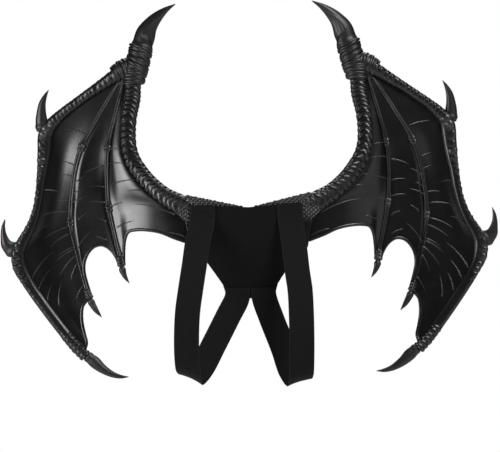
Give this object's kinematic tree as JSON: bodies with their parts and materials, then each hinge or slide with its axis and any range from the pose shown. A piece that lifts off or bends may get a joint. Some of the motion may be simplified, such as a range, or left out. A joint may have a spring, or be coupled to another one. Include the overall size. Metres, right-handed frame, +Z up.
{
  "type": "dragon wings",
  "caption": "Costume dragon wings of moulded black foam, with ribbed bones, scalloped webs, horns and claws, joined by a cloth back panel with elastic shoulder straps.",
  "frame": {"origin": "on the front face of the cloth back panel, on its centre line, where it rests between the wearer's shoulder blades", "axes": "+X to the right of someone who faces the wearer, +Y backwards from the wearer, +Z up"},
  "size_m": [0.7964, 0.1519, 0.6146],
  "materials": {
    "foam": "satin skin of moulded polyurethane foam",
    "horn": "smooth satin lacquer on moulded foam",
    "cloth": "matt black felted cloth",
    "elastic": "ribbed woven black elastic"
  },
  "bodies": {
    "root": {"back_panel": "cloth", "left_arm": "foam", "left_root": "foam", "left_wrist_wrap": "foam", "left_leading_spar": "foam", "left_inner_finger": "foam", "left_outer_finger": "foam", "left_inner_web": "foam", "left_middle_web": "foam", "left_outer_web": "foam", "left_thumb_horn": "horn", "left_elbow_claw": "horn", "left_outer_claw": "horn", "left_tip_claw": "horn", "left_inner_finger_claw": "horn", "left_outer_finger_claw": "horn", "left_strap": "elastic", "right_arm": "foam", "right_root": "foam", "right_wrist_wrap": "foam", "right_leading_spar": "foam", "right_inner_finger": "foam", "right_outer_finger": "foam", "right_inner_web": "foam", "right_middle_web": "foam", "right_outer_web": "foam", "right_thumb_horn": "horn", "right_elbow_claw": "horn", "right_outer_claw": "horn", "right_tip_claw": "horn", "right_inner_finger_claw": "horn", "right_outer_finger_claw": "horn", "right_strap": "elastic"}
  },
  "joints": []
}
